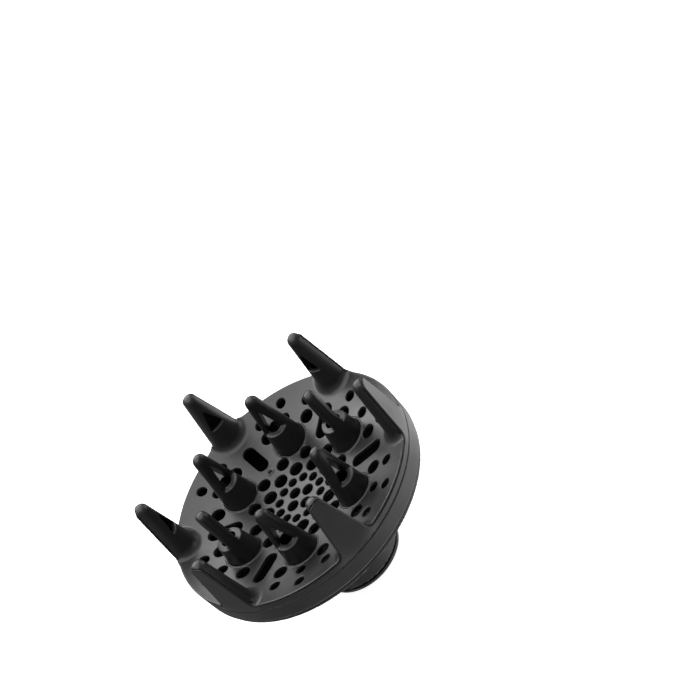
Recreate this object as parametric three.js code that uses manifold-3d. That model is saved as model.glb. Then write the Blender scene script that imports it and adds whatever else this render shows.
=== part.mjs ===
// A hair dryer diffuser: a perforated bowl with a crown of fingers, on a funnel with a push-on collar.
// Millimetres, +Z up. The origin is the centre of the collar's end face, and +Z runs along the
// airway towards the fingertips. +X passes through an inner finger.

import * as THREE from 'three';
import * as BufferGeometryUtils from 'three/addons/utils/BufferGeometryUtils.js';
import Module from 'manifold-3d';

const wasm = await Module();
wasm.setup();

// ---------------------------------------------------------------- driving dimensions
const GAP = 0.3; // between pieces that touch

const SECTORS = 6; // the inner and the outer fingers each repeat six times
const SECTOR = 360 / SECTORS;
const ROUND = 48; // facets round the big turned shapes
const CUT_LOW_Z = -10; // cutting bodies run from here, below the object,
const CUT_HIGH_Z = 120; // to here, above it,
const CUT_R = 100; // and out to here
const SLIVER = 0.01; // keeps a cut from ending in the very face it starts from

// bowl plate
const DISH_Z = 56; // lowest point of the bowl's upper face
const DISH_SPHERE = 212; // radius of the bowl's upper face
const DISH_WALL = 2.2;
const BOWL_FLOOR_Z = 46; // well below the plate
const BOWL_STEPS = 5; // rings of facets from the middle to the rim
const RIM_R = 70.5;
const BOWL_REACH = 75.5; // the bowl's faces are drawn this far out, then trimmed at the rim
const RIM_LIP = 0.9; // thickness of the plate's edge where it laps over the crown

// crown: the outer wall with the outer faces of the outer fingers
const CROWN_WALL = 1.9;
const CROWN_FOOT_R = 70.1;
const CROWN_FOOT_Z = 52.6;
const PANEL_PLANE = 69.2; // distance of the panels' inner face from the axis, at the rim
const PANEL_TOP_Z = 101.6;
const CROWN_FOOT_STEP = 0.4; // how much thinner the wall is at its foot

// outer fingers
const OUTER_TIP_R = 67.2;
const OUTER_TIP_Z = 100;
const OUTER_FOOT_Z = 61; // the section at the base runs straight down to here
const OUTER_BASE_Z = 66;
const OUTER_HALF_WIDTH = 10;
const OUTER_REACH = 9; // from the section's centre in towards the axis, at the base
const OUTER_BASE_R = 69; // section's centre at the base
const OUTER_TIP_OUT = 3.2; // from the section's centre out to the flat face, at the tip
const OUTER_SQUARENESS = [0.4, 0.6]; // of the outer half of the section: 1 is round
const OUTER_WALL = 2;
const CAVITY_TOP = 0.72; // of the way from the base to the tip
const OUTER_LIP_Z = 80; // lower edge of the window
const OUTER_APEX_Z = 94; // top of the window
const OUTER_WINDOW_HALF = 3.8;
const TIP_R = 4; // round tip of every finger
const DOME_LIFTS = [25, 50, 72]; // degrees above the tip's widest circle

// inner fingers
const INNER_R = 39; // base centre from the axis
const INNER_TIP_R = 40;
const INNER_TIP_Z = 93;
const INNER_BASE = 9.4; // base radius
const INNER_LIP_Z = 73.4; // lower edge of the windows
const INNER_APEX_Z = 88.3;
const INNER_WINDOW_HALF = 4.3;
const WINDOW_APEX_HALF = 0.5; // half width at the top of every window
const LEG_HALF = 3.2; // half thickness of the two legs, across the windows
const BORE_BASE = 6.2; // air passage at the foot
const BORE_TOP = 4.1; // air passage at the window's lower edge
const SPIGOT_R = 7.6; // foot that passes through the bowl
const SPIGOT_DROP = 5.5; // depth of the foot below the bowl's upper face
const SPIGOT_RISE = 4; // height of the foot inside the cone
const CONE_SINK = 3; // the cone is drawn this far down, then cut by the bowl's upper face
const HOOK_R = 9;
const HOOK_HALF_ANGLE = 22; // degrees
const HOOK_ANGLES = [180, 100, -100]; // degrees from straight outwards

// collar neck and rear shell
const NECK_R = 24.2;
const NECK_BORE = 22.2;
const NECK_FOOT_Z = 4.1;
const NECK_TOP_Z = 19; // where the funnel starts outside
const FUNNEL_FOOT_Z = 20; // where it starts inside
const SHELL_WALL = 2;
const SHELL_RIM_R = 69.6;
const SHELL_CONE_R = 67.8;
const SHELL_RIM_Z = 50; // underside of the shell's rim
const UPSTAND_TOP_Z = 58; // top of the ring that stands up inside the crown
const UPSTAND_GAP = 0.6; // between that ring and the crown's wall
const SHELL_LEDGE = 1.2; // thickness of the shell's rim
const GROOVE_R = 22.95; // snap groove in the neck
const GROOVE_Z = [14.6, 16.6];

// collar ring: turns in the neck and grips the dryer's nose
const RING_LIP_R = 23.9;
const RING_LIP_Z = 2.9;
const RING_CHAMFER = 1;
const RING_BORE = 20.4;
const RING_SLEEVE_R = 21.9;
const RING_TOP_Z = 17;
const BEAD_R = 22.6;
const BEAD_Z = [15, 16.2];
const BEAD_CHAMFER = 0.3;
const SLITS = 4;
const SLIT_WIDTH = 2;
const SLIT_FOOT_Z = 5;
const GRIP_RIBS = 8;
const GRIP_RIB = { width: 2, inner: 19.8, outer: 21, z: [1.6, 13] };

// screw towers
const SCREW_R = 30;
const SCREW_ANGLES = [90, 210, 330];
const TOWER_R = 4.2;
const TOWER_TOP_Z = 50;
const COUNTERBORE_R = 3.4;
const SEAT_Z = 47.5; // where the screw head bears
const SCREW_CLEARANCE_R = 1.8;
const BOSS_R = 3.2;
const BOSS_TOP_Z = 57; // inside the plate
const PILOT_R = 1.45;
const PILOT_TOP_Z = 56.2;
const SCREW = {
  head: 2.8, headHeight: 2, shank: 1.15, tipZ: 55.8, slot: 0.7, slotLength: 3.9, slotDepth: 1,
};

// holes through the bowl: distance from the axis, radius, first angle, step, facets
const HOLE_RINGS = [
  { r: 5.65, radius: 3.15, first: 0, step: 90, facets: 8 },
  { r: 12.9, radius: 2.4, first: 15, step: 30, facets: 8 },
  { r: 20, radius: 3.8, first: 0, step: 30, facets: 8 },
  { r: 28, radius: 3.6, first: 15, step: 30, facets: 8 },
  { r: 48.8, radius: 3.75, first: 15, step: 30, facets: 8 },
  { r: 58.2, radius: 2.8, first: 15, step: 30, facets: 8 },
  { r: 53.2, radius: 2.75, first: 0, step: 60, facets: 8 },
  { r: 62.5, radius: 2.8, first: 0, step: 60, facets: 8 },
];
const SLOT = { r: 44, halfLength: 9.6, radius: 3.65, first: 30, step: 60, facets: 8 };

// ---------------------------------------------------------------- small helpers
const rad = THREE.MathUtils.degToRad;
const lerp = THREE.MathUtils.lerp;

const dishTop = (r) => DISH_Z + DISH_SPHERE - Math.sqrt(DISH_SPHERE ** 2 - r ** 2);

/** A closed three.js geometry as a manifold solid with its faces pointing out. */
function solid(geometry) {
  const bare = geometry.clone();
  bare.deleteAttribute('normal');
  bare.deleteAttribute('uv');
  const merged = BufferGeometryUtils.mergeVertices(bare, 1e-4);
  const corners = merged.index.array;
  const triVerts = [];
  for (let i = 0; i < corners.length; i += 3) {
    const [a, b, c] = [corners[i], corners[i + 1], corners[i + 2]];
    if (a !== b && b !== c && c !== a) triVerts.push(a, b, c);
  }
  const vertProperties = new Float32Array(merged.attributes.position.array);
  if (signedVolume(vertProperties, triVerts) < 0) triVerts.reverse();
  const mesh = new wasm.Mesh({ numProp: 3, vertProperties, triVerts: new Uint32Array(triVerts) });
  return new wasm.Manifold(mesh);
}

function signedVolume(points, triVerts) {
  const at = (i) => new THREE.Vector3().fromArray(points, 3 * i);
  let total = 0;
  for (let i = 0; i < triVerts.length; i += 3) {
    total += at(triVerts[i]).dot(at(triVerts[i + 1]).cross(at(triVerts[i + 2])));
  }
  return total / 6;
}

const joinAll = (solids) => solids.reduce((all, next) => all.add(next));
const cutAll = (body, cutters) => body.subtract(joinAll(cutters));

/** A profile of [radius, height] points that closes on itself or on the axis, turned about Z. */
function turned(profile, facets = ROUND) {
  const points = profile.map(([r, z]) => new THREE.Vector2(r, z));
  if (profile[0][0] > 0) points.push(points[0].clone());
  return solid(new THREE.LatheGeometry(points, facets).rotateX(Math.PI / 2));
}

/** A vertical cylinder from z0 to z1, at a distance and an angle from the axis. */
function post(r, angle, radius, z0, z1, facets = 16) {
  const shape = new THREE.CylinderGeometry(radius, radius, z1 - z0, facets).rotateX(Math.PI / 2);
  shape.translate(r, 0, (z0 + z1) / 2).rotateZ(rad(angle));
  return solid(shape);
}

/** A box in a finger's own directions: u outwards, v sideways, z up, turned to an angle. */
function block([u0, u1], [v0, v1], [z0, z1], angle) {
  const shape = new THREE.BoxGeometry(u1 - u0, v1 - v0, z1 - z0);
  shape.translate((u0 + u1) / 2, (v0 + v1) / 2, (z0 + z1) / 2).rotateZ(rad(angle));
  return solid(shape);
}

/** Rings with the same number of [x, y, z] points, joined from the bottom up and capped. */
function loft(rings, angle = 0) {
  const count = rings[0].length;
  const points = rings.flat(2);
  const index = [];
  for (let k = 0; k + 1 < rings.length; k += 1) {
    for (let i = 0; i < count; i += 1) {
      const [a, b] = [k * count + i, k * count + ((i + 1) % count)];
      index.push(a, b, b + count, a, b + count, a + count);
    }
  }
  for (const [ring, flip] of [[0, true], [rings.length - 1, false]]) {
    const middle = rings[ring].reduce((sum, p) => sum.map((s, i) => s + p[i] / count), [0, 0, 0]);
    const hub = points.push(...middle) / 3 - 1;
    for (let i = 0; i < count; i += 1) {
      const [a, b] = [ring * count + i, ring * count + ((i + 1) % count)];
      index.push(...(flip ? [b, a, hub] : [a, b, hub]));
    }
  }
  const geometry = new THREE.BufferGeometry();
  geometry.setAttribute('position', new THREE.Float32BufferAttribute(points, 3));
  geometry.setIndex(index);
  return solid(geometry.rotateZ(rad(angle)));
}

/** A level circle as a ring of points. */
function circle(centre, radius, z, facets) {
  return Array.from({ length: facets }, (_, i) => {
    const a = (2 * Math.PI * i) / facets;
    return [centre + radius * Math.cos(a), radius * Math.sin(a), z];
  });
}

/** The rings of a round tip above its widest circle. */
function domeRings(centre, radius, z, ringAt) {
  return DOME_LIFTS.map((lift) => {
    const a = rad(lift);
    return ringAt(centre, radius * Math.cos(a), z + radius * Math.sin(a));
  });
}

// ---------------------------------------------------------------- outer fingers
const OUTER_FACETS = 16;

/** One level section of an outer finger: rounded inside, flat outside at the base, round at the tip. */
function outerRing(t, z, inset = 0) {
  const centre = lerp(OUTER_BASE_R, OUTER_TIP_R, t);
  const half = lerp(OUTER_HALF_WIDTH, TIP_R, t) - inset;
  const inward = lerp(OUTER_REACH, TIP_R, t) - inset;
  const outward = lerp(RIM_R - OUTER_BASE_R, OUTER_TIP_OUT, t);
  const squareness = lerp(OUTER_SQUARENESS[0], OUTER_SQUARENESS[1], t);
  return Array.from({ length: OUTER_FACETS }, (_, i) => {
    const a = (2 * Math.PI * (i + 0.5)) / OUTER_FACETS;
    const [c, s] = [Math.cos(a), Math.sin(a)];
    const power = c > 0 ? squareness : 1;
    const u = c > 0 ? outward * c ** power : inward * c;
    return [centre + u, half * Math.sign(s) * Math.abs(s) ** power, z];
  });
}

/** The whole outer finger, with its foot below the bowl's upper face. */
function outerFinger(angle) {
  const rings = [outerRing(0, OUTER_FOOT_Z), outerRing(0, OUTER_BASE_Z)];
  for (const t of [0.35, 0.7, 1]) rings.push(outerRing(t, lerp(OUTER_BASE_Z, OUTER_TIP_Z, t)));
  const tip = (centre, radius, z) => outerRing(1, z).map(([x, y]) => [
    centre + ((x - centre) * radius) / TIP_R, (y * radius) / TIP_R, z,
  ]);
  return loft([...rings, ...domeRings(OUTER_TIP_R, TIP_R, OUTER_TIP_Z, tip)], angle);
}

/** The hollow inside an outer finger, open downwards. */
function outerCavity(angle) {
  const rings = [
    outerRing(0, DISH_Z, OUTER_WALL),
    outerRing(0, OUTER_BASE_Z, OUTER_WALL),
    outerRing(CAVITY_TOP, lerp(OUTER_BASE_Z, OUTER_TIP_Z, CAVITY_TOP), OUTER_WALL),
  ];
  return loft(rings, angle);
}

/** A three-sided hole with its point up, that runs through a finger from u0 to u1. */
function window(u0, u1, half, z0, z1, angle) {
  const corners = [[-half, z0], [half, z0], [WINDOW_APEX_HALF, z1], [-WINDOW_APEX_HALF, z1]];
  const shape = new THREE.Shape(corners.map(([v, z]) => new THREE.Vector2(v, z)));
  const prism = new THREE.ExtrudeGeometry(shape, { depth: u1 - u0, bevelEnabled: false });
  prism.rotateX(Math.PI / 2).rotateZ(Math.PI / 2).translate(u0, 0, 0).rotateZ(rad(angle));
  return solid(prism);
}

const outerAngles = Array.from({ length: SECTORS }, (_, i) => SECTOR / 2 + SECTOR * i);
const innerAngles = Array.from({ length: SECTORS }, (_, i) => SECTOR * i);

// ---------------------------------------------------------------- the pieces
/** Upper or lower side of the bowl, as a solid of everything under it, moved down by depth. */
function underBowl(depth, floorZ) {
  const profile = [[0, floorZ], [BOWL_REACH, floorZ]];
  for (let i = BOWL_STEPS; i >= 0; i -= 1) {
    const r = (BOWL_REACH * i) / BOWL_STEPS;
    profile.push([r, dishTop(r) - depth]);
  }
  return turned(profile);
}

/** A round-ended slot, from z0 to z1, pointing outwards at an angle. */
function slot({ r, halfLength, radius, facets }, angle, z0, z1) {
  const shape = new THREE.Shape();
  shape.absarc(r + halfLength - radius, 0, radius, -Math.PI / 2, Math.PI / 2, false);
  shape.absarc(r - halfLength + radius, 0, radius, Math.PI / 2, (3 * Math.PI) / 2, false);
  const options = { depth: z1 - z0, bevelEnabled: false, curveSegments: facets / 2 };
  return solid(new THREE.ExtrudeGeometry(shape, options).translate(0, 0, z0).rotateZ(rad(angle)));
}

function bowlHoles() {
  const cutters = [];
  for (const { r, radius, first, step, facets } of HOLE_RINGS) {
    for (let a = first; a < 360; a += step) {
      cutters.push(post(r, a, radius, CUT_LOW_Z, CUT_HIGH_Z, facets));
    }
  }
  for (let a = SLOT.first; a < 360; a += SLOT.step) cutters.push(slot(SLOT, a, CUT_LOW_Z, CUT_HIGH_Z));
  for (const a of innerAngles) cutters.push(post(INNER_R, a, SPIGOT_R + GAP, CUT_LOW_Z, CUT_HIGH_Z, 20));
  return cutters;
}

function frontDish() {
  const disc = turned([[0, CUT_LOW_Z], [RIM_R, CUT_LOW_Z], [RIM_R, CUT_HIGH_Z], [0, CUT_HIGH_Z]]);
  const plate = underBowl(0, BOWL_FLOOR_Z).subtract(underBowl(DISH_WALL, CUT_LOW_Z)).intersect(disc);
  const bosses = SCREW_ANGLES.map((a) => post(SCREW_R, a, BOSS_R, TOWER_TOP_Z + GAP, BOSS_TOP_Z, 14));
  const body = joinAll([plate, ...bosses, ...outerAngles.map(outerFinger)]);

  const rimUnderside = dishTop(RIM_R) - RIM_LIP;
  const crownSeat = turned([
    [RIM_R - CROWN_WALL - GAP, CUT_LOW_Z], [CUT_R, CUT_LOW_Z],
    [CUT_R, rimUnderside], [RIM_R - CROWN_WALL - GAP, rimUnderside],
  ]);
  const notch = (a) => block(
    [PANEL_PLANE - GAP, CUT_R], [-OUTER_HALF_WIDTH - GAP, OUTER_HALF_WIDTH + GAP],
    [DISH_Z, PANEL_TOP_Z + GAP], a,
  );
  const outerWindow = (a) => window(
    OUTER_BASE_R - 2 * OUTER_REACH, OUTER_TIP_R, OUTER_WINDOW_HALF, OUTER_LIP_Z, OUTER_APEX_Z, a,
  );
  return cutAll(body, [
    crownSeat,
    ...outerAngles.map(notch),
    ...outerAngles.map(outerCavity),
    ...outerAngles.map(outerWindow),
    ...SCREW_ANGLES.map((a) => post(SCREW_R, a, PILOT_R, CUT_LOW_Z, PILOT_TOP_Z, 10)),
    ...bowlHoles(),
  ]);
}

function crown() {
  const top = dishTop(RIM_R) - RIM_LIP - GAP;
  const wall = turned([
    [CROWN_FOOT_R - CROWN_WALL + CROWN_FOOT_STEP, CROWN_FOOT_Z], [CROWN_FOOT_R, CROWN_FOOT_Z],
    [RIM_R, top], [RIM_R - CROWN_WALL, top],
  ]);
  const slab = (a) => block(
    [PANEL_PLANE, CUT_R], [-OUTER_HALF_WIDTH, OUTER_HALF_WIDTH], [OUTER_FOOT_Z, PANEL_TOP_Z], a,
  );
  const panels = outerAngles.map((a) => outerFinger(a).intersect(slab(a)));
  return joinAll([wall, ...panels]);
}

/** A hollow finger with two windows, that snaps into the bowl with three hooks. */
function innerFinger(angle) {
  const facets = 20;
  const baseZ = dishTop(INNER_R);
  const ringAt = (centre, radius, z) => circle(centre, radius, z, facets);
  const radiusAt = (z) => lerp(INNER_BASE, TIP_R, (z - baseZ) / (INNER_TIP_Z - baseZ));
  const centreAt = (z) => lerp(INNER_R, INNER_TIP_R, (z - baseZ) / (INNER_TIP_Z - baseZ));
  const at = (z) => ringAt(centreAt(z), radiusAt(z), z);
  const cone = loft([
    at(baseZ - CONE_SINK), at(INNER_TIP_Z), ...domeRings(INNER_TIP_R, TIP_R, INNER_TIP_Z, ringAt),
  ], angle);

  const bowlWithGap = underBowl(-GAP, BOWL_FLOOR_Z);
  const plateWithGap = bowlWithGap.subtract(underBowl(DISH_WALL + GAP, CUT_LOW_Z));
  const spigot = post(INNER_R, angle, SPIGOT_R, baseZ - SPIGOT_DROP, baseZ + SPIGOT_RISE, facets);
  const hooks = HOOK_ANGLES.map((a) => {
    const ring = (k) => [-1, 0, 1].map((s) => {
      const turn = rad(a + s * HOOK_HALF_ANGLE);
      return [INNER_R + HOOK_R * Math.cos(turn), HOOK_R * Math.sin(turn), k];
    });
    const wedge = (k) => [[INNER_R, 0, k], ...ring(k)];
    return loft([wedge(baseZ - SPIGOT_DROP), wedge(baseZ + GAP)], angle);
  });

  const sides = [-1, 1].map((side) => {
    const [near, far] = [LEG_HALF, 3 * INNER_BASE];
    const [u0, u1] = side < 0 ? [-far, -near] : [near, far];
    return block([INNER_TIP_R + u0, INNER_TIP_R + u1], [-far, far], [INNER_LIP_Z, CUT_HIGH_Z], angle);
  });
  const crossCut = window(
    INNER_R - 2 * INNER_BASE, INNER_R + 2 * INNER_BASE,
    INNER_WINDOW_HALF, INNER_LIP_Z - SLIVER, INNER_APEX_Z, angle,
  );
  const bore = loft([
    ringAt(INNER_R, BORE_BASE, baseZ - SPIGOT_DROP - GAP), ringAt(INNER_R, BORE_BASE, baseZ),
    ringAt(centreAt(INNER_LIP_Z), BORE_TOP, INNER_LIP_Z + GAP),
  ], angle);
  const foot = joinAll(hooks).subtract(plateWithGap).add(spigot);
  return cutAll(cone.subtract(bowlWithGap).add(foot), [...sides, crossCut, bore]);
}

/** The funnel, its neck and the three towers that the screws pass up through. */
function rearShell() {
  const rimTop = CROWN_FOOT_Z - GAP;
  const upstand = RIM_R - CROWN_WALL - UPSTAND_GAP;
  const shell = turned([
    [NECK_BORE, NECK_FOOT_Z], [NECK_R, NECK_FOOT_Z], [NECK_R, NECK_TOP_Z],
    [SHELL_CONE_R, SHELL_RIM_Z], [SHELL_RIM_R, SHELL_RIM_Z], [SHELL_RIM_R, rimTop],
    [upstand, rimTop], [upstand, UPSTAND_TOP_Z], [upstand - SHELL_WALL, UPSTAND_TOP_Z],
    [upstand - SHELL_WALL, SHELL_RIM_Z + SHELL_LEDGE], [NECK_BORE, FUNNEL_FOOT_Z],
    [NECK_BORE, GROOVE_Z[1]], [GROOVE_R, GROOVE_Z[1]], [GROOVE_R, GROOVE_Z[0]], [NECK_BORE, GROOVE_Z[0]],
  ]);
  const coneSlope = (SHELL_RIM_Z - NECK_TOP_Z) / (SHELL_CONE_R - NECK_R);
  const wallZ = NECK_TOP_Z + (SCREW_R - NECK_R) * coneSlope;
  const tower = (a) => post(SCREW_R, a, TOWER_R, wallZ - SHELL_WALL / 2, TOWER_TOP_Z, 16);
  const outside = turned([
    [0, CUT_LOW_Z], [NECK_R, CUT_LOW_Z], [NECK_R, NECK_TOP_Z], [SHELL_CONE_R, SHELL_RIM_Z],
    [SHELL_CONE_R, CUT_HIGH_Z], [0, CUT_HIGH_Z],
  ]);
  const towers = joinAll(SCREW_ANGLES.map(tower)).intersect(outside);
  return cutAll(shell.add(towers), [
    ...SCREW_ANGLES.map((a) => post(SCREW_R, a, COUNTERBORE_R, CUT_LOW_Z, SEAT_Z, 16)),
    ...SCREW_ANGLES.map((a) => post(SCREW_R, a, SCREW_CLEARANCE_R, CUT_LOW_Z, CUT_HIGH_Z, 12)),
  ]);
}

function shellScrew(angle) {
  const { head, headHeight, shank, tipZ, slot: width, slotLength, slotDepth } = SCREW;
  const topOfHead = SEAT_Z - GAP;
  const bottom = topOfHead - headHeight;
  const body = joinAll([
    post(SCREW_R, angle, head, bottom, topOfHead, 16),
    post(SCREW_R, angle, shank, bottom, tipZ, 10),
  ]);
  const arm = (turn) => {
    const bar = new THREE.BoxGeometry(slotLength, width, 2 * slotDepth);
    return solid(bar.rotateZ(rad(turn)).translate(SCREW_R, 0, bottom).rotateZ(rad(angle)));
  };
  return cutAll(body, [arm(0), arm(90)]);
}

/** The ring that the dryer's nose pushes into. Its slit sleeve snaps into the neck and turns there. */
function collarRing() {
  const ring = turned([
    [RING_BORE, 0], [RING_LIP_R - RING_CHAMFER, 0], [RING_LIP_R, RING_CHAMFER], [RING_LIP_R, RING_LIP_Z],
    [RING_SLEEVE_R, RING_LIP_Z], [RING_SLEEVE_R, BEAD_Z[0]], [BEAD_R, BEAD_Z[0] + BEAD_CHAMFER],
    [BEAD_R, BEAD_Z[1] - BEAD_CHAMFER], [RING_SLEEVE_R, BEAD_Z[1]], [RING_SLEEVE_R, RING_TOP_Z],
    [RING_BORE, RING_TOP_Z],
  ]);
  const ribs = Array.from({ length: GRIP_RIBS }, (_, i) => block(
    [GRIP_RIB.inner, GRIP_RIB.outer], [-GRIP_RIB.width / 2, GRIP_RIB.width / 2], GRIP_RIB.z,
    (360 / GRIP_RIBS) * (i + 0.5),
  ));
  const slits = Array.from({ length: SLITS }, (_, i) => block(
    [RING_BORE - SLIT_WIDTH, CUT_R], [-SLIT_WIDTH / 2, SLIT_WIDTH / 2], [SLIT_FOOT_Z, CUT_HIGH_Z],
    (360 / SLITS) * i,
  ));
  return cutAll(joinAll([ring, ...ribs]), slits);
}

// ---------------------------------------------------------------- the object
const satinBlack = { color: 0x262626, roughness: 0.45, metalness: 0 };
const fingerBlack = { color: 0x222222, roughness: 0.5, metalness: 0 };
const matteBlack = { color: 0x161616, roughness: 0.7, metalness: 0 };
const steel = { color: 0x8a8a88, roughness: 0.35, metalness: 1 };

const diffuser = new THREE.Group();

function place(name, body, look) {
  const { vertProperties, triVerts } = body.getMesh();
  const geometry = new THREE.BufferGeometry();
  geometry.setAttribute('position', new THREE.BufferAttribute(vertProperties, 3));
  geometry.setIndex(new THREE.BufferAttribute(triVerts, 1));
  const mesh = new THREE.Mesh(geometry, new THREE.MeshStandardMaterial(look));
  mesh.name = name;
  diffuser.add(mesh);
}

place('front_dish', frontDish(), satinBlack);
place('crown', crown(), satinBlack);
place('rear_shell', rearShell(), satinBlack);
innerAngles.forEach((a, i) => place(`inner_finger_${i + 1}`, innerFinger(a), fingerBlack));
SCREW_ANGLES.forEach((a, i) => place(`shell_screw_${i + 1}`, shellScrew(a), steel));
place('collar_ring', collarRing(), matteBlack);

export default diffuser;
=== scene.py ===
"""A hair dryer diffuser: satin black mouldings round a perforated bowl with twelve fingers.

Each visible piece is worked out as a signed distance in millimetres, in the frame's own directions, and
meshed by a surface net. Below, u runs outwards from the axis, v sideways and z up the axis.
"""

import math

import bpy
import numpy as np
from mathutils import Matrix, Vector


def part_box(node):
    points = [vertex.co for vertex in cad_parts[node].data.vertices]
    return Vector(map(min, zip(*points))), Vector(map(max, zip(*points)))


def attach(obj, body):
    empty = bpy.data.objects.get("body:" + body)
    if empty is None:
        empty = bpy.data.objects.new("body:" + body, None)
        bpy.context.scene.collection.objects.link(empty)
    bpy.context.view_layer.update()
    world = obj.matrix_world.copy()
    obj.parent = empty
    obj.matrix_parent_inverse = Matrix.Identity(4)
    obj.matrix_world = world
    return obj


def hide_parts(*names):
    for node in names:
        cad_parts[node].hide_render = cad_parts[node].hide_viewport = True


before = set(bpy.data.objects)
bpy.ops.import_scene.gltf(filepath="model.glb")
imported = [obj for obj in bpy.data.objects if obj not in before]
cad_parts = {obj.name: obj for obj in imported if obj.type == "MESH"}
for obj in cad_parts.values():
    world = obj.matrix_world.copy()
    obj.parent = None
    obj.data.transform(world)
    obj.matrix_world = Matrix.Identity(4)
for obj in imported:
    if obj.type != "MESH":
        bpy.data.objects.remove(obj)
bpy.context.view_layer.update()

MM = 0.001


def span(node):
    """A CAD node's lowest and highest corner, in millimetres."""
    low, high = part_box(node)
    return np.array(low) / MM, np.array(high) / MM


# ---------------------------------------------------------------- sizes from the frame
dish_low, dish_high = span("front_dish")
crown_low, crown_high = span("crown")
shell_low, shell_high = span("rear_shell")
ring_low, ring_high = span("collar_ring")
finger_low, finger_high = span("inner_finger_1")
screw_low, screw_high = span("shell_screw_1")

RIM_R = dish_high[0]
TIP_R = 4.0
TIP_TOP = TIP_R * math.sin(math.radians(72))  # where the frame's faceted tips stop
GAP = 0.3
SHUT_LINE = 0.18
SHUT_LINE_WIDER = 0.17  # how much more of a gap there is along the plate's lip
LIP_ENDS = (69.5, 72.5)  # heights over which the plate's lip runs out on a finger

# radii of moulded edges
FINE = 0.1
CRISP = 0.2
EDGE = 0.3
SOFT = 0.4

# bowl plate
DISH_Z = 56.0
DISH_SPHERE = 212.0
DISH_WALL = 2.2
LIP = 1.15
RIM_ROUND = 0.8
HOLE_ROUND = 0.45

# outer fingers
OUTER_TIP_Z = dish_high[2] - TIP_TOP
OUTER_TIP_R = RIM_R - 3.3
OUTER_TIP_OUT = 3.0
OUTER_BASE_Z = 66.0
OUTER_BASE_R = RIM_R - 1.5
OUTER_HALF = 10.0
TAPER_FROM = -0.3  # the taper goes on below the base by this share of the finger's height
OUTER_REACH = 9.0
OUTER_LIP_Z = 80.0
OUTER_APEX_Z = 95.0
OUTER_WINDOW_HALF = 4.2
OUTER_WALL = 2.6
PANEL_BACK = 1.1
PANEL_TOP_Z = OUTER_TIP_Z + 3.3
PANEL_TOP_ROUND = 3
PANEL_TALLER = 3  # room above the frame's panels for the visible ones
PANEL_ROUND = 0.5
PANEL_STARTS = (68.5, 71)  # heights over which the crown's wall becomes a panel
FLAT_STARTS = (60, 72)  # heights over which the round wall turns flat in front of a finger
FLAT_OUTSIDE = 6  # the flat face blends into the wall from this far outside the finger's side
FLAT_INSIDE = 2  # to this far inside it
TIP_ROUNDER = 1.4  # how much rounder the edges get towards the tip, on the plate's side
PANEL_TIP_ROUNDER = 1.7  # and on the panel's
FINGER_FILLET = 3.6
CAVITY_ROUND = 1.5

# inner fingers
INNER_R = 39.2
INNER_TIP_R = 40.0
INNER_TIP_Z = finger_high[2] - TIP_TOP
INNER_BASE = 9.4
INNER_LIP_Z = 73.4
INNER_APEX_Z = 90.7
INNER_WINDOW_HALF = 4.0
WINDOW_ROUND = 0.5
BORE_TOP = 4.1
BORE_FLARE = 0.2
LIP_SLOPE = 0.2
LIP_FLAT_R = 3  # the lip at the windows' foot slopes down from this far out
LEG_HALF = 3.1
LEG_WIDER = 0.9  # how much wider a leg is at the tip
LEG_FILLET = 1.3
LEG_ROUND = 0.45
LEG_ROUNDER = 1.9  # how much rounder a leg's edges get in its first 9 mm
LEG_ROUND_RISE = 9

# seat and foot of an inner finger
SEAT_BEAD = 0.5
SEAT_GAP = 0.1
SEAT_TAPER = 0.16
SEAT_RISE = 3.6  # height above the middle of the bowl where the taper is nil
FOOT_GAP = 0.12
SPIGOT_R = 7.6
SPIGOT_BORE = 6.2
SPIGOT_HALF = 4
SPIGOT_DROP = 1.5
HOOK_ANGLES = (180, 100, -100)
HOOK_R = 9
HOOK_HALF = 3
HOOK_DROP = 4.2
HOOK_THICK_HALF = 1.3

# crown and shell
CROWN_WALL = 1.9
CROWN_FOOT_R = 70.1
CROWN_FOOT_Z = crown_low[2]
CROWN_FOOT_ROUND = 1.1
CREASE_Z = 62.9
CREASE_R = 0.4
CREASE_SINK = 0.1
CREASE_ROUND = 0.15
NECK_R = 24.2
NECK_BORE = 22.2
NECK_FOOT_Z = shell_low[2]
NECK_TOP_Z = 19.0
SHELL_RIM_R = shell_high[0]
SHELL_CONE_R = 67.8
SHELL_RIM_Z = 50.0
SHELL_WALL = 2.0
SHELL_LIP = 0.5  # how far the visible flange stays inside the frame's
FUNNEL_WALL_Z = 1.2
INSIDE_FROM = 0.8  # the shell's faces this far above its outer face get the painted shade of the inside
UPSTAND_TOP = shell_high[2]
GROOVE_R = 22.95
GROOVE_Z = (14.6, 16.6)

# collar ring
RING_LIP_R = ring_high[0]
RING_LIP_Z = 2.9
RING_BORE = 20.4
RING_SLEEVE_R = 21.9
RING_TOP_Z = ring_high[2]
BEAD_R = 22.6
BEAD_Z = (15.0, 16.2)
BEAD_CHAMFER = 0.3
LIP_CHAMFER = 1
RING_ROUND = 0.25
RIB_FIRST, RIB_STEP = 22.5, 45
RIB_DEPTH = 0.6
RIB_HALF = 1
RIB_MIDDLE_Z = 7.3
RIB_LENGTH_HALF = 5.7
SLIT_STEP = 90
SLIT_HALF = 1
SLIT_FOOT_Z = 5

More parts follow.
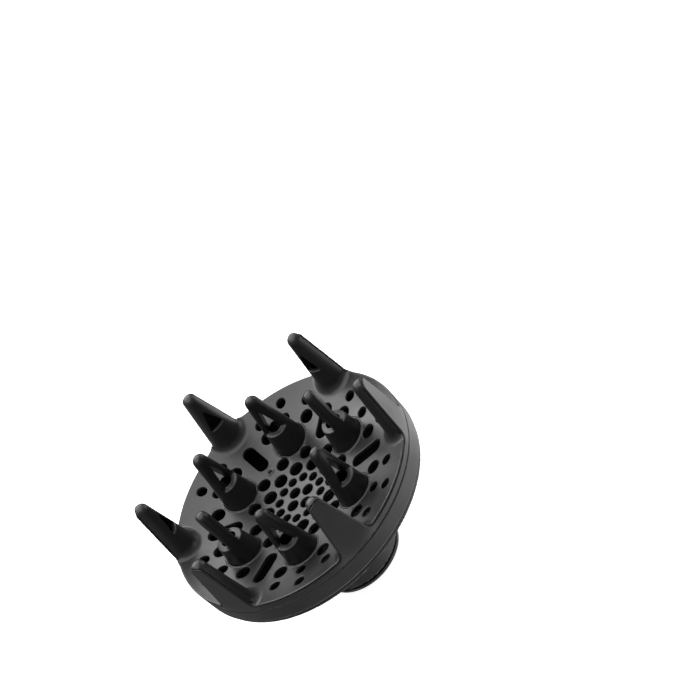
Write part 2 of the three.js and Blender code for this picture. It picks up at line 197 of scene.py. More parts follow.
# screws
SCREW_R = 30.0
SCREW_ANGLES = (90, 210, 330)
SCREW_STEP = 120
TOWER_R = 4.2
TOWER_TOP_Z = 50.0
TOWER_SKIN = 0.4  # how far a tower stays above the funnel's outer face
TOWER_FILLET = 0.8
COUNTERBORE_R = 3.4
CLEARANCE_R = 1.8
SCREW_ROUND = 0.35
HEAD_SEAT_Z = screw_low[2] + 2.3
BOSS_R = 3.2
BOSS_MIDDLE_Z = 53.6
BOSS_HALF = 3.3
PILOT_R = 1.45
PILOT_TOP_Z = 56.2
SCREW_HEAD_R = 2.8
HEAD_THICK = 2
HEAD_ROUND = 0.7
HEAD_DOME = 0.06
SHANK_R = 1.15
THREAD_DEPTH = 0.12
THREAD_PITCH = 1.1
RECESS_HALF = 0.35
RECESS_REACH = 1.6
RECESS_TAPER = 0.25
RECESS_SHORT = 0.9  # where the recess ends, below the head's seat

# sink mark in the bowl over a boss
MARK_R = 1.6
MARK_ROUND = 0.55
MARK_SINK = 0.1
PIT_R = 1.05
PIT_RISE = 0.2

# round holes: distance from the axis, radius, first angle, step
HOLE_RINGS = (
    (5.65, 3.15, 0, 90),
    (12.9, 2.4, 15, 30),
    (20, 3.8, 0, 30),
    (28, 3.6, 15, 30),
    (48.8, 3.75, 15, 30),
    (58.2, 2.8, 15, 30),
    (53.2, 2.75, 0, 60),
    (62.5, 2.8, 0, 60),
)
SLOT_R, SLOT_HALF, SLOT_RADIUS = 44.0, 9.6, 3.65
SECTOR = 60


# ---------------------------------------------------------------- distance fields
def both(a, b, r):
    """Where a and b overlap, with the edge between them rounded to radius r."""
    return np.minimum(-r, np.maximum(a, b)) + np.hypot(np.maximum(a + r, 0), np.maximum(b + r, 0))


def either(a, b, r):
    """a and b together, with a fillet of radius r where they meet."""
    return np.maximum(r, np.minimum(a, b)) - np.hypot(np.maximum(r - a, 0), np.maximum(r - b, 0))


def without(a, b, r):
    return both(a, -b, r)


def ramp(x, low, high):
    """0 below low, 1 above high, and smooth between."""
    t = np.clip((x - low) / (high - low), 0, 1)
    return t * t * (3 - 2 * t)


def sector(p, first, step):
    """u and v towards the nearest of the copies at first, first + step and so on, in degrees."""
    first, step = math.radians(first), math.radians(step)
    r = np.hypot(p[:, 0], p[:, 1])
    turn = np.arctan2(p[:, 1], p[:, 0]) - first
    turn = (turn + step / 2) % step - step / 2
    return r * np.cos(turn), r * np.sin(turn)


def from_bowl_centre(p):
    return np.sqrt(p[:, 0] ** 2 + p[:, 1] ** 2 + (p[:, 2] - DISH_Z - DISH_SPHERE) ** 2)


def bowl_height(r):
    """Height of the bowl's upper face."""
    return DISH_Z + DISH_SPHERE - math.sqrt(DISH_SPHERE**2 - r**2)


def inset(corners, depth):
    """The corners of a counter-clockwise outline, moved in by depth from both their edges."""
    ahead = np.roll(corners, -1, axis=0) - corners
    ahead /= np.linalg.norm(ahead, axis=1)[:, None]
    out = np.stack([ahead[:, 1], -ahead[:, 0]], axis=1)
    back = np.roll(out, 1, axis=0)
    return corners - depth * (out + back) / (1 + (out * back).sum(axis=1))[:, None]


def outline(x, y, corners, rounding):
    """Distance to a closed counter-clockwise outline, with its outer corners rounded."""
    corners = inset(np.array(corners, float), rounding)
    nearest = np.full(x.shape, np.inf)
    sign = np.ones(x.shape)
    for (ax, ay), (bx, by) in zip(corners, np.roll(corners, -1, axis=0)):
        ex, ey = bx - ax, by - ay
        wx, wy = x - ax, y - ay
        t = np.clip((wx * ex + wy * ey) / (ex * ex + ey * ey), 0, 1)
        nearest = np.minimum(nearest, (wx - ex * t) ** 2 + (wy - ey * t) ** 2)
        above, below, left = y >= ay, y < by, ex * wy > ey * wx
        cross = (above & below & left) | (~above & ~below & ~left)
        sign = np.where(cross, -sign, sign)
    return sign * np.sqrt(nearest) - rounding


def round_hole(u, v, r, radius):
    return np.hypot(u - r, v) - radius


# ---------------------------------------------------------------- bowl, outer fingers and crown
def outer_section(u, v, z):
    """Distance to an outer finger's rounded sides, and to its flat outer face."""
    t = np.clip((z - OUTER_BASE_Z) / (OUTER_TIP_Z - OUTER_BASE_Z), TAPER_FROM, 1)
    centre = OUTER_BASE_R + (OUTER_TIP_R - OUTER_BASE_R) * t
    half = OUTER_HALF + (TIP_R - OUTER_HALF) * t
    reach = OUTER_REACH + (TIP_R - OUTER_REACH) * t
    taper = math.cos(math.atan((OUTER_HALF - TIP_R) / (OUTER_TIP_Z - OUTER_BASE_Z)))
    sides = (np.hypot(np.minimum(u - centre, 0) * half / reach, v) - half) * taper
    outward = (RIM_R - OUTER_BASE_R) + (OUTER_TIP_OUT - RIM_R + OUTER_BASE_R) * t
    return sides, u - centre - outward


def outer_shape(p):
    """The bowl's upper side with the outer fingers on it, and the outer limit of both."""
    u, v = sector(p, SECTOR / 2, SECTOR)
    z = p[:, 2]
    sides, face = outer_section(u, v, z)
    finger = both(sides, z - OUTER_TIP_Z - TIP_R, TIP_R - FINE)
    top = DISH_SPHERE - from_bowl_centre(p)
    wall = np.hypot(p[:, 0], p[:, 1]) - RIM_R
    flat = ramp(-np.abs(v), -OUTER_HALF - FLAT_OUTSIDE, -OUTER_HALF + FLAT_INSIDE) * ramp(z, *FLAT_STARTS)
    limit = wall + (face - wall) * flat
    return u, v, top, finger, limit


def on_plate(z):
    """1 along the plate's lip, and 0 higher up, on a finger."""
    return 1 - ramp(z, *LIP_ENDS)


def on_tip(z):
    """0 on an outer finger, and 1 at the top of its tip."""
    return ramp(z, OUTER_TIP_Z, OUTER_TIP_Z + TIP_R)


def crown_reach(z, top, finger):
    """Inside the surface that parts the crown from the bowl plate: the plate's lip ends at the panels."""
    lip = LIP * on_plate(z)
    skin = either(top + lip, finger + 0.1 * lip, FINGER_FILLET)
    return both(skin, z - PANEL_TOP_Z, PANEL_TOP_ROUND)


def behind_crown(r, z, face, gap):
    """Inside the crown's back, moved inwards by gap. face is the distance to the fingers' flat faces."""
    behind_panel = -PANEL_BACK - gap - face
    behind_wall = RIM_R - CROWN_WALL - gap - r
    return behind_wall + (behind_panel - behind_wall) * ramp(z, *PANEL_STARTS)


def bowl_holes(p):
    holes = np.full(len(p), np.inf)
    for r, radius, first, step in HOLE_RINGS:
        u, v = sector(p, first, step)
        holes = np.minimum(holes, round_hole(u, v, r, radius))
    u, v = sector(p, SECTOR / 2, SECTOR)
    along = np.maximum(np.abs(u - SLOT_R) - SLOT_HALF + SLOT_RADIUS, 0)
    return np.minimum(holes, np.hypot(along, v) - SLOT_RADIUS)


def front_dish(p):
    z = p[:, 2]
    u, v, top, finger, limit = outer_shape(p)
    body = either(top, finger, FINGER_FILLET)
    body = both(body, limit, RIM_ROUND + TIP_ROUNDER * on_tip(z))

    # the crown's place, with a gap to it
    r = np.hypot(p[:, 0], p[:, 1])
    skin = crown_reach(z, top, finger)
    sides, face = outer_section(u, v, z)
    shut_line = SHUT_LINE + SHUT_LINE_WIDER * on_plate(z)
    seat = both(skin - shut_line, behind_crown(r, z, face, SHUT_LINE), EDGE)
    body = without(body, seat, EDGE)

    # underside, hollow fingers and their windows
    body = both(body, from_bowl_centre(p) - DISH_SPHERE - DISH_WALL, EDGE)
    cavity = both(sides + OUTER_WALL, z - OUTER_APEX_Z + 1, CAVITY_ROUND)
    body = without(body, cavity, SOFT)
    width = OUTER_WINDOW_HALF * (OUTER_APEX_Z - z) / (OUTER_APEX_Z - OUTER_LIP_Z)
    opening = both(np.sqrt(v**2 + 0.5) - width, OUTER_LIP_Z - z, SOFT)
    opening = both(opening, u - OUTER_TIP_R, EDGE)
    body = without(body, opening, SOFT)

    # beads round the feet of the inner fingers, and the screw bosses
    u, v = sector(p, 0, SECTOR)
    rho = np.hypot(u - INNER_R, v)
    bead = np.hypot(rho - INNER_BASE - SEAT_BEAD, top) - SEAT_BEAD
    body = either(body, bead, SOFT)
    body = without(body, rho - INNER_BASE - SEAT_GAP + SEAT_TAPER * (z - DISH_Z - SEAT_RISE), FINE)
    u, v = sector(p, SCREW_ANGLES[0], SCREW_STEP)
    boss = both(round_hole(u, v, SCREW_R, BOSS_R), np.abs(z - BOSS_MIDDLE_Z) - BOSS_HALF, EDGE)
    body = np.minimum(body, boss)
    body = without(body, both(round_hole(u, v, SCREW_R, PILOT_R), z - PILOT_TOP_Z, FINE), CRISP)

    # a small raised ring with a pit in it over each boss
    mark = np.hypot(round_hole(u, v, SCREW_R, MARK_R), top + MARK_SINK) - MARK_ROUND
    body = either(body, mark, EDGE)
    pit = np.sqrt((u - SCREW_R) ** 2 + v**2 + (top - PIT_RISE) ** 2) - PIT_R
    body = without(body, pit, CRISP)

    return without(body, bowl_holes(p), HOLE_ROUND)


def crown(p):
    z = p[:, 2]
    u, v, top, finger, limit = outer_shape(p)
    r = np.hypot(p[:, 0], p[:, 1])
    skin = crown_reach(z, top, finger)
    lean = (RIM_R - CROWN_FOOT_R) / (OUTER_BASE_Z - CROWN_FOOT_Z)
    leaning = limit + np.maximum(OUTER_BASE_Z - z, 0) * lean
    body = both(skin, leaning, PANEL_ROUND + PANEL_TIP_ROUNDER * on_tip(z))
    body = both(body, CROWN_FOOT_Z - z, CROWN_FOOT_ROUND)
    _, face = outer_section(u, v, z)
    body = both(body, behind_crown(r, z, face, 0), EDGE)
    crease = np.hypot(leaning + CREASE_SINK, z - CREASE_Z) - CREASE_R
    return without(body, crease, CREASE_ROUND)


# ---------------------------------------------------------------- inner finger
def inner_finger(p):
    """The finger that points along +X."""
    x, y, z = p.T
    foot_z = bowl_height(INNER_R)
    lean = (INNER_TIP_R - INNER_R) / (INNER_TIP_Z - foot_z)
    rho = np.hypot(x - INNER_R - lean * (z - foot_z), y)
    angle = math.atan((INNER_BASE - TIP_R) / (INNER_TIP_Z - foot_z))
    up = z - INNER_TIP_Z
    side = rho * math.cos(angle) + up * math.sin(angle) - TIP_R
    dome = np.hypot(rho, up) - TIP_R
    cone = np.where(up * math.cos(angle) > rho * math.sin(angle), dome, side)

    # two legs over a short cone
    leg_half = LEG_HALF + LEG_WIDER * np.clip((z - INNER_LIP_Z) / (INNER_TIP_Z - INNER_LIP_Z), 0, 1)
    slab = np.abs(x - INNER_R - lean * (z - foot_z)) - leg_half
    above_lip = z - INNER_LIP_Z + LIP_SLOPE * np.maximum(rho - LIP_FLAT_R, 0)
    level = either(slab, above_lip, LEG_FILLET)
    up_leg = ramp(z, INNER_LIP_Z, INNER_LIP_Z + LEG_ROUND_RISE)
    body = both(cone, level, LEG_ROUND + LEG_ROUNDER * up_leg)

    width = INNER_WINDOW_HALF * (INNER_APEX_Z - z) / (INNER_APEX_Z - INNER_LIP_Z)
    opening = both(np.sqrt(y**2 + 0.3) - width, -above_lip, FINE)
    body = without(body, opening, WINDOW_ROUND)
    bore = rho - BORE_TOP - BORE_FLARE * np.maximum(INNER_LIP_Z - z, 0)
    bore = both(bore, z - INNER_LIP_Z, FINE)
    body = without(body, bore, SOFT)

    # foot through the bowl, with three hooks
    top = DISH_SPHERE - from_bowl_centre(p)
    body = both(body, -top + FOOT_GAP, FINE)
    round_foot = np.hypot(x - INNER_R, y)
    spigot = both(round_foot - SPIGOT_R, np.abs(z - foot_z + SPIGOT_DROP) - SPIGOT_HALF, EDGE)
    turn = np.arctan2(y, x - INNER_R)
    hook_level = np.abs(z - foot_z + HOOK_DROP) - HOOK_THICK_HALF
    hooks = np.full(len(p), np.inf)
    for hook in HOOK_ANGLES:
        away = (turn - math.radians(hook) + math.pi) % (2 * math.pi) - math.pi
        across = np.abs(round_foot * np.sin(away)) - HOOK_HALF
        across = np.where(np.cos(away) > 0, across, HOOK_R)
        hook_part = both(both(round_foot - HOOK_R, across, EDGE), hook_level, EDGE)
        hooks = np.minimum(hooks, hook_part)
    foot = without(np.minimum(spigot, hooks), round_foot - SPIGOT_BORE, EDGE)
    return np.minimum(body, foot)


# ---------------------------------------------------------------- rear shell and collar
def above_funnel(r, z):
    """How far a place is above the funnel's outer face."""
    slope = (SHELL_RIM_Z - NECK_TOP_Z) / (SHELL_CONE_R - NECK_R)
    return (z - NECK_TOP_Z - (r - NECK_R) * slope) / math.hypot(1, slope)


def rear_shell(p):
    z = p[:, 2]
    r = np.hypot(p[:, 0], p[:, 1])
    upstand = RIM_R - CROWN_WALL - 2 * GAP
    rim_top = CROWN_FOOT_Z - GAP
    flange_r = SHELL_RIM_R - SHELL_LIP
    profile = (
        (NECK_BORE, NECK_FOOT_Z), (NECK_R, NECK_FOOT_Z), (NECK_R, NECK_TOP_Z),
        (SHELL_CONE_R, SHELL_RIM_Z), (flange_r, SHELL_RIM_Z), (flange_r, rim_top),
        (upstand, rim_top), (upstand, UPSTAND_TOP), (upstand - SHELL_WALL, UPSTAND_TOP),
        (upstand - SHELL_WALL, SHELL_RIM_Z + FUNNEL_WALL_Z), (NECK_BORE, NECK_TOP_Z + 1),
        (NECK_BORE, GROOVE_Z[1]), (GROOVE_R, GROOVE_Z[1]), (GROOVE_R, GROOVE_Z[0]), (NECK_BORE, GROOVE_Z[0]),
    )
    body = outline(r, z, profile, EDGE)
    u, v = sector(p, SCREW_ANGLES[0], SCREW_STEP)
    tower = both(round_hole(u, v, SCREW_R, TOWER_R), z - TOWER_TOP_Z, SOFT)
    tower = np.maximum(tower, TOWER_SKIN - above_funnel(r, z))
    body = either(body, tower, TOWER_FILLET)
    counterbore = both(round_hole(u, v, SCREW_R, COUNTERBORE_R), z - HEAD_SEAT_Z, FINE)
    clearance = round_hole(u, v, SCREW_R, CLEARANCE_R)
    return without(body, np.minimum(counterbore, clearance), SCREW_ROUND)


def collar_ring(p):
    z = p[:, 2]
    r = np.hypot(p[:, 0], p[:, 1])
    profile = (
        (RING_BORE, 0), (RING_LIP_R - LIP_CHAMFER, 0), (RING_LIP_R, LIP_CHAMFER), (RING_LIP_R, RING_LIP_Z),
        (RING_SLEEVE_R, RING_LIP_Z), (RING_SLEEVE_R, BEAD_Z[0]), (BEAD_R, BEAD_Z[0] + BEAD_CHAMFER),
        (BEAD_R, BEAD_Z[1] - BEAD_CHAMFER), (RING_SLEEVE_R, BEAD_Z[1]), (RING_SLEEVE_R, RING_TOP_Z),
        (RING_BORE, RING_TOP_Z),
    )
    body = outline(r, z, profile, RING_ROUND)
    u, v = sector(p, RIB_FIRST, RIB_STEP)
    rib = both(np.abs(u - RING_BORE) - RIB_DEPTH, np.abs(v) - RIB_HALF, EDGE)
    rib = both(rib, np.abs(z - RIB_MIDDLE_Z) - RIB_LENGTH_HALF, EDGE)
    body = either(body, rib, EDGE)
    u, v = sector(p, 0, SLIT_STEP)
    slit = np.maximum(np.abs(v) - SLIT_HALF, SLIT_FOOT_Z - z)
    return without(body, slit, EDGE)


def shell_screw(p):
    """The screw in the tower at 90 degrees: a pan head with a cross recess, facing down."""
    x, y, z = p[:, 0], p[:, 1] - SCREW_R, p[:, 2]
    r = np.hypot(x, y)
    head_top = HEAD_SEAT_Z - GAP
    head = both(r - SCREW_HEAD_R, np.abs(z - head_top + HEAD_THICK / 2) - HEAD_THICK / 2, HEAD_ROUND)
    head = both(head, head_top - HEAD_THICK - z + HEAD_DOME * r**2, EDGE)
    turns = np.arctan2(y, x) + 2 * math.pi * (z / THREAD_PITCH)
    thread = SHANK_R - THREAD_DEPTH + THREAD_DEPTH * np.cos(turns)
    middle, half = (head_top + screw_high[2]) / 2, (screw_high[2] - head_top) / 2
    shank = both(r - thread, np.abs(z - middle) - half - EDGE, EDGE)
    bar = np.minimum(
        np.maximum(np.abs(x) - RECESS_HALF, np.abs(y) - RECESS_REACH),
        np.maximum(np.abs(y) - RECESS_HALF, np.abs(x) - RECESS_REACH),
    )
    taper = RECESS_TAPER * np.maximum(z - head_top + HEAD_THICK, 0)
    recess = np.maximum(bar + taper, z - head_top + RECESS_SHORT)
    return without(np.minimum(head, shank), recess, FINE)


# ---------------------------------------------------------------- surface net
BLOCK = 8
BLOCKS_AT_ONCE = 400
NEAR = 0.8  # a block counts as near the surface within this share of its diagonal
MARGIN = 2.3  # cells of room round a piece


def sample(field, low, count, step):
    """The field on a grid of points, worked out in full only near its surface."""
    blocks = -(-np.array(count) // BLOCK)
    middle = (np.indices(blocks).reshape(3, -1).T + 0.5) * BLOCK * step + low
    coarse = field(middle)
    near = np.abs(coarse) < NEAR * BLOCK * step * math.sqrt(3)
    values = np.repeat(coarse.astype(np.float32), BLOCK**3).reshape(*blocks, BLOCK, BLOCK, BLOCK)
    values = values.transpose(0, 3, 1, 4, 2, 5).copy()
    inner = np.indices((BLOCK,) * 3).reshape(3, -1).T * step
    corners = middle - 0.5 * BLOCK * step
    places = np.stack(np.unravel_index(np.arange(len(middle)), blocks), axis=1)
    for group in np.array_split(np.flatnonzero(near), max(1, near.sum() // BLOCKS_AT_ONCE)):
        points = (corners[group][:, None] + inner[None]).reshape(-1, 3)
        found = field(points).reshape(-1, BLOCK, BLOCK, BLOCK)
        i, j, k = places[group].T
        values[i, :, j, :, k, :] = found
    return values.reshape(blocks * BLOCK)


def surface_net(values, low, step):
    """Quads round every grid edge that crosses the surface, with a corner in each cell they share."""
    shape = np.array(values.shape)
    inside = values < 0
    cells, crossings, quads, flips = [], [], [], []
    strides = np.array([shape[1] * shape[2], shape[2], 1])
    for axis in range(3):
        one, two = (axis + 1) % 3, (axis + 2) % 3
        a = np.take(inside, range(shape[axis] - 1), axis)
        b = np.take(inside, range(1, shape[axis]), axis)
        at = np.argwhere(a != b)
        at = at[(at[:, one] > 0) & (at[:, two] > 0)]
        ahead = at.copy()
        ahead[:, axis] += 1
        first, second = values[tuple(at.T)], values[tuple(ahead.T)]
        place = at.astype(float)
        place[:, axis] += first / (first - second)
        around = []
        for back_one, back_two in ((1, 1), (0, 1), (0, 0), (1, 0)):
            around.append(at @ strides - back_one * strides[one] - back_two * strides[two])
        around = np.stack(around, axis=1)
        flip = ~inside[tuple(at.T)]
        around[flip] = around[flip][:, ::-1]
        quads.append(around)
        cells.append(around.ravel())
        crossings.append(np.repeat(place, 4, axis=0))
    quads, cells, crossings = np.concatenate(quads), np.concatenate(cells), np.concatenate(crossings)
    names, index = np.unique(cells, return_inverse=True)
    index = index.ravel()
    share = np.bincount(index)
    corners = np.stack([np.bincount(index, crossings[:, k]) / share for k in range(3)], axis=1)
    faces = np.searchsorted(names, quads)
    return corners * step + low, faces


def slope_of(field, points, reach=0.02):
    """Which way the field grows fastest at each point, and how fast."""
    grown = []
    for axis in range(3):
        shift = np.zeros(3)
        shift[axis] = reach
        grown.append((field(points + shift) - field(points - shift)) / (2 * reach))
    return np.stack(grown, axis=1)


def settle(field, points, step, rounds=3):
    """Points moved onto the surface."""
    for _ in range(rounds):
        slope = slope_of(field, points)
        length = np.maximum((slope**2).sum(axis=1), 0.05)
        move = -(field(points) / length)[:, None] * slope
        size = np.linalg.norm(move, axis=1, keepdims=True)
        points = points + move * np.minimum(1, 0.6 * step / np.maximum(size, 1e-9))
    return points


def build_mesh(name, field, low, high, step, keep=0.4):
    """A mesh of the surface, thinned out where it is flat, with the field's own normals."""
    low = np.array(low, float) - MARGIN * step
    count = np.ceil((np.array(high, float) + MARGIN * step - low) / step).astype(int) + 1
    points, faces = surface_net(sample(field, low, count, step), low, step)
    points = settle(field, points, step)
    mesh = bpy.data.meshes.new(name)
    mesh.from_pydata(points * MM, [], faces.tolist())
    mesh.validate()
    thinned = bpy.data.objects.new(name, mesh)
    bpy.context.scene.collection.objects.link(thinned)
    modifier = thinned.modifiers.new("thin", "DECIMATE")
    modifier.ratio = keep
    result = bpy.data.meshes.new_from_object(thinned.evaluated_get(bpy.context.evaluated_depsgraph_get()))
    bpy.data.objects.remove(thinned)
    bpy.data.meshes.remove(mesh)
    result.name = name
    points = np.empty(3 * len(result.vertices))
    result.vertices.foreach_get("co", points)
    points = settle(field, points.reshape(-1, 3) / MM, step, rounds=1)
    result.vertices.foreach_set("co", (points * MM).ravel())
    normals = slope_of(field, points)
    normals /= np.maximum(np.linalg.norm(normals, axis=1, keepdims=True), 1e-9)
    result.shade_smooth()
    result.normals_split_custom_set_from_vertices(normals)
    result.update()
    return result


# ---------------------------------------------------------------- materials
class Nodes:
    """The node tree of a new material, with short ways to add to it."""

    def __init__(self, name):
        self.material = bpy.data.materials.new(name)
        self.material.use_nodes = True
        self.tree = self.material.node_tree
        self.shader = self.tree.nodes["Principled BSDF"]
        self.place = self.add("ShaderNodeTexCoord").outputs["Object"]

    def add(self, kind, **values):
        node = self.tree.nodes.new(kind)
        for key, value in values.items():
            if key in node.inputs:
                node.inputs[key].default_value = value
            else:
                setattr(node, key, value)
        return node

    def link(self, output, target):
        self.tree.links.new(output, target)

    def noise(self, size_mm, detail=3.0, roughness=0.5):
        node = self.add("ShaderNodeTexNoise", Scale=1 / (size_mm * MM), Detail=detail, Roughness=roughness)
        self.link(self.place, node.inputs["Vector"])
        return node.outputs["Fac"]

    def spread(self, value, low, high, to_low, to_high):
        node = self.add("ShaderNodeMapRange")
        self.link(value, node.inputs["Value"])
        for key, number in zip(("From Min", "From Max", "To Min", "To Max"), (low, high, to_low, to_high)):
            node.inputs[key].default_value = number
        return node.outputs["Result"]

    def maths(self, operation, a, b):
        node = self.add("ShaderNodeMath", operation=operation)
        for slot, value in zip(node.inputs, (a, b)):
            if isinstance(value, (int, float)):
                slot.default_value = value
            else:
                self.link(value, slot)
        return node.outputs[0]

    def blend(self, amount, first, second):
        node = self.add("ShaderNodeMix", data_type="RGBA")
        self.link(amount, node.inputs["Factor"])
        node.inputs["A"].default_value = (*first, 1)
        node.inputs["B"].default_value = (*second, 1)
        return node.outputs["Result"]


def moulded_plastic(name, colour, roughness, grain=0.03):
    """Satin moulded plastic: fine spark-eroded grain, soft flow mottling, and edges a little paler, partly
    from wear and partly as a painted highlight.
    """
    n = Nodes(name)
    mottle = n.noise(11, 4, 0.5)
    speck = n.noise(0.9, 2, 0.6)
    pointed = n.add("ShaderNodeNewGeometry").outputs["Pointiness"]
    # painted highlight: sharp edges get a paler colour, partly as wear and partly standing in for light
    # caught by rounded edges
    edge_wear_and_highlight = n.spread(pointed, 0.53, 0.6, 0, 1)
    scuff_and_highlight = n.maths("MULTIPLY", edge_wear_and_highlight, n.spread(n.noise(3, 3, 0.6), 0.35, 0.65, 0.3, 1))
    tone = n.maths("ADD", n.spread(mottle, 0.3, 0.7, 0, 0.75), n.spread(speck, 0.3, 0.7, 0, 0.25))
    dark = tuple(0.82 * c for c in colour)
    light = tuple(1.16 * c for c in colour)
    base = n.blend(tone, dark, light)
    # the mix that paints the edges paler, as wear and painted highlight together
    wear_and_highlight_mix = n.add("ShaderNodeMix", data_type="RGBA")
    n.link(n.maths("MULTIPLY", scuff_and_highlight, 0.35), wear_and_highlight_mix.inputs["Factor"])
    n.link(base, wear_and_highlight_mix.inputs["A"])
    wear_and_highlight_mix.inputs["B"].default_value = (*(3.0 * c for c in colour), 1)
    n.link(wear_and_highlight_mix.outputs["Result"], n.shader.inputs["Base Color"])
    gloss = n.spread(n.noise(14, 3, 0.5), 0.3, 0.7, roughness - 0.05, roughness + 0.05)
    gloss = n.maths("SUBTRACT", gloss, n.maths("MULTIPLY", scuff_and_highlight, 0.08))
    n.link(gloss, n.shader.inputs["Roughness"])
    bump = n.add("ShaderNodeBump", Strength=0.5, Distance=grain * MM)
    n.link(n.noise(0.35, 2, 0.6), bump.inputs["Height"])
    n.link(bump.outputs["Normal"], n.shader.inputs["Normal"])
    n.shader.inputs["IOR"].default_value = 1.5
    return n.material


def painted_shade_inside():
    """Painted shade for the inside of the shell: near-black, matte and with little specular, standing in for
    the shade in the closed chamber.
    """
    n = Nodes("chamber_painted_shade")
    tone = n.blend(n.noise(4, 3, 0.5), (0.002, 0.002, 0.002), (0.004, 0.004, 0.004))
    n.link(tone, n.shader.inputs["Base Color"])
    n.link(n.spread(n.noise(2, 3, 0.5), 0.3, 0.7, 0.8, 0.9), n.shader.inputs["Roughness"])
    n.shader.inputs["Specular IOR Level"].default_value = 0.1
    return n.material


def brushed_steel():
    """Zinc-plated screw steel: turned rings, a few dark spots."""
    n = Nodes("screw_steel")
    tone = n.spread(n.noise(0.8, 4, 0.6), 0.3, 0.7, 0, 1)
    n.link(n.blend(tone, (0.33, 0.33, 0.32), (0.52, 0.52, 0.50)), n.shader.inputs["Base Color"])
    n.link(n.spread(n.noise(0.5, 3, 0.5), 0.3, 0.7, 0.25, 0.45), n.shader.inputs["Roughness"])
    n.shader.inputs["Metallic"].default_value = 1
    bump = n.add("ShaderNodeBump", Strength=0.4, Distance=0.02 * MM)
    n.link(n.noise(0.2, 2, 0.5), bump.inputs["Height"])
    n.link(bump.outputs["Normal"], n.shader.inputs["Normal"])
    return n.material


# ---------------------------------------------------------------- pieces
def add_piece(name, mesh, material, node, body):
    piece = bpy.data.objects.new(name, mesh)
    bpy.context.scene.collection.objects.link(piece)
    mesh.materials.clear()
    mesh.materials.append(material)
    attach(piece, body)
    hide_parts(node)
    return piece


def turned_copy(mesh, name, angle):
    """A copy of a mesh, turned about the axis by an angle in degrees."""
    copy = mesh.copy()
    copy.name = name
    copy.transform(Matrix.Rotation(math.radians(angle), 4, "Z"))
    return copy


def make_pieces():
    dish_black = moulded_plastic("dish_black", (0.021, 0.021, 0.0215), 0.35)
    crown_black = moulded_plastic("crown_black", (0.021, 0.021, 0.0208), 0.38)
    # painted shade: the fingers' black is darker than the bowl's, standing in for their sides turned away
    # from the light
    finger_black_painted_shade = moulded_plastic("finger_black_painted_shade", (0.012, 0.012, 0.012), 0.35)
    # painted shade: the shell's black is darker than the bowl's, standing in for the shade under the flange
    shell_black_painted_shade = moulded_plastic("shell_black_painted_shade", (0.010, 0.010, 0.010), 0.45)
    collar_black = moulded_plastic("collar_black", (0.008, 0.008, 0.008), 0.5)
    steel = brushed_steel()

    mesh = build_mesh("dish_moulding", front_dish, dish_low, dish_high, step=0.5, keep=0.3)
    add_piece("dish_moulding", mesh, dish_black, "front_dish", "head")

    mesh = build_mesh("crown_moulding", crown, crown_low, crown_high + PANEL_TALLER, step=0.55)
    add_piece("crown_moulding", mesh, crown_black, "crown", "head")

    mesh = build_mesh("finger", inner_finger, finger_low - 1, finger_high + 1, step=0.4)
    for i in range(360 // SECTOR):
        copy = turned_copy(mesh, f"finger_moulding_{i + 1}", SECTOR * i)
        add_piece(copy.name, copy, finger_black_painted_shade, f"inner_finger_{i + 1}", "head")

    mesh = build_mesh("shell_moulding", rear_shell, shell_low, shell_high, step=0.7)
    add_piece("shell_moulding", mesh, shell_black_painted_shade, "rear_shell", "head")
    # painted shade: the faces inside the funnel take the near-black inside material
    mesh.materials.append(painted_shade_inside())
    for face in mesh.polygons:
        x, y, z = face.center / MM
        face.material_index = int(above_funnel(math.hypot(x, y), z) > INSIDE_FROM)

    mesh = build_mesh("collar_moulding", collar_ring, ring_low, ring_high, step=0.45)
    add_piece("collar_moulding", mesh, collar_black, "collar_ring", "collar")

    mesh = build_mesh("screw", shell_screw, screw_low - 0.5, screw_high + 0.5, step=0.15)
    for i, angle in enumerate(SCREW_ANGLES):
        copy = turned_copy(mesh, f"pan_screw_{i + 1}", angle - SCREW_ANGLES[0])
        add_piece(copy.name, copy, steel, f"shell_screw_{i + 1}", "head")


# ---------------------------------------------------------------- stage
VIEW_BEARING = 6.9  # degrees from looking along +Y, towards +X
VIEW_DOWN = 36.2
VIEW_ROLL = -44.26
VIEW_DISTANCE = 1.009
VIEW_LENS = 97.65
VIEW_AIM = Vector((0.0767, 0.0468, 0.060))


def camera():
    bearing, down = math.radians(VIEW_BEARING), math.radians(VIEW_DOWN)
    look = Vector((math.sin(bearing) * math.cos(down), math.cos(bearing) * math.cos(down), -math.sin(down)))
    data = bpy.data.cameras.new("camera")
    data.lens = VIEW_LENS
    eye = bpy.data.objects.new("camera", data)
    upright = look.to_track_quat("-Z", "Y").to_matrix().to_4x4()
    eye.matrix_world = (
        Matrix.Translation(VIEW_AIM - look * VIEW_DISTANCE) @ upright
        @ Matrix.Rotation(math.radians(VIEW_ROLL), 4, "Z")
    )
    bpy.context.scene.collection.objects.link(eye)
    bpy.context.scene.camera = eye


def softbox(name, place, aim, size, power):
    """A rectangular soft light of power watts, size metres each way, that faces aim."""
    data = bpy.data.lights.new(name, "AREA")
    data.shape = "RECTANGLE"
    data.size, data.size_y = size
    data.energy = power
    lamp = bpy.data.objects.new(name, data)
    turned = (aim - place).to_track_quat("-Z", "Y").to_matrix().to_4x4()
    lamp.matrix_world = Matrix.Translation(place) @ turned
    bpy.context.scene.collection.objects.link(lamp)


ROOM_LIGHT = 0.22  # the room behind is white, but lights the object only this much
TABLE_GLOW = 0.9
TABLE_HALF = 3.0
DARK_R = (0.022, 0.0225)  # the glow of the table starts between these distances from the axis
BLIND_HALF = 0.021
BLIND_Z = -0.0005


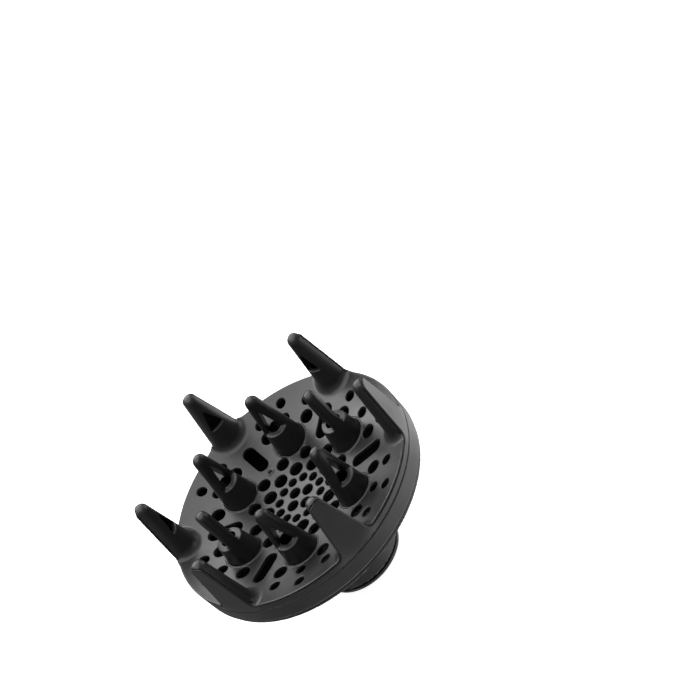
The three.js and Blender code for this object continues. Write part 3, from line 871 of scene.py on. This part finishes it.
def lights():
    middle = Vector((0, 0, 0.06))
    softbox("overhead", Vector((-0.25, 0.25, 1.7)), middle, (2.6, 2.6), 46)
    softbox("back", Vector((0.1, 1.7, 1.25)), middle, (2.8, 1.0), 34)
    softbox("side", Vector((1.7, 0.3, 0.35)), middle, (1.2, 1.2), 7)
    softbox("under", Vector((0.5, 0.0, -1.0)), middle, (2.2, 3.2), 29)
    world = bpy.data.worlds.new("studio")
    bpy.context.scene.world = world
    world.use_nodes = True
    background = world.node_tree.nodes["Background"]
    background.inputs["Color"].default_value = (1, 1, 1, 1)
    path = world.node_tree.nodes.new("ShaderNodeLightPath")
    strength = world.node_tree.nodes.new("ShaderNodeMapRange")
    strength.inputs["To Min"].default_value = ROOM_LIGHT
    strength.inputs["To Max"].default_value = 1
    world.node_tree.links.new(path.outputs["Is Camera Ray"], strength.inputs["Value"])
    world.node_tree.links.new(strength.outputs["Result"], background.inputs["Strength"])


def flat_square(name, half, z):
    mesh = bpy.data.meshes.new(name)
    corners = [(-half, -half, z), (half, -half, z), (half, half, z), (-half, half, z)]
    mesh.from_pydata(corners, [], [(0, 1, 2, 3)])
    sheet = bpy.data.objects.new(name, mesh)
    bpy.context.scene.collection.objects.link(sheet)
    return sheet


def floor():
    """A light table: glowing paper that the lamp under it shines through, and a blind under the collar."""
    sheet = flat_square("floor", TABLE_HALF, 0)
    n = Nodes("paper")
    tone = n.spread(n.noise(60, 3, 0.5), 0.3, 0.7, 0, 1)
    n.link(n.blend(tone, (0.86, 0.86, 0.86), (0.88, 0.88, 0.88)), n.shader.inputs["Base Color"])
    n.shader.inputs["Roughness"].default_value = 0.9

    # it glows, but not inside the collar
    n.shader.inputs["Emission Color"].default_value = (1, 1, 1, 1)
    from_axis = n.add("ShaderNodeVectorMath", operation="LENGTH")
    n.link(n.place, from_axis.inputs[0])
    glow = n.spread(from_axis.outputs["Value"], *DARK_R, 0, TABLE_GLOW)
    n.link(glow, n.shader.inputs["Emission Strength"])
    sheet.data.materials.append(n.material)
    sheet.visible_diffuse = False
    sheet.visible_glossy = False
    sheet.visible_shadow = False
    blind = flat_square("blind", BLIND_HALF, BLIND_Z)
    blind.data.materials.append(n.material)


make_pieces()
camera()
lights()
floor()
bpy.context.scene.view_settings.view_transform = "Standard"
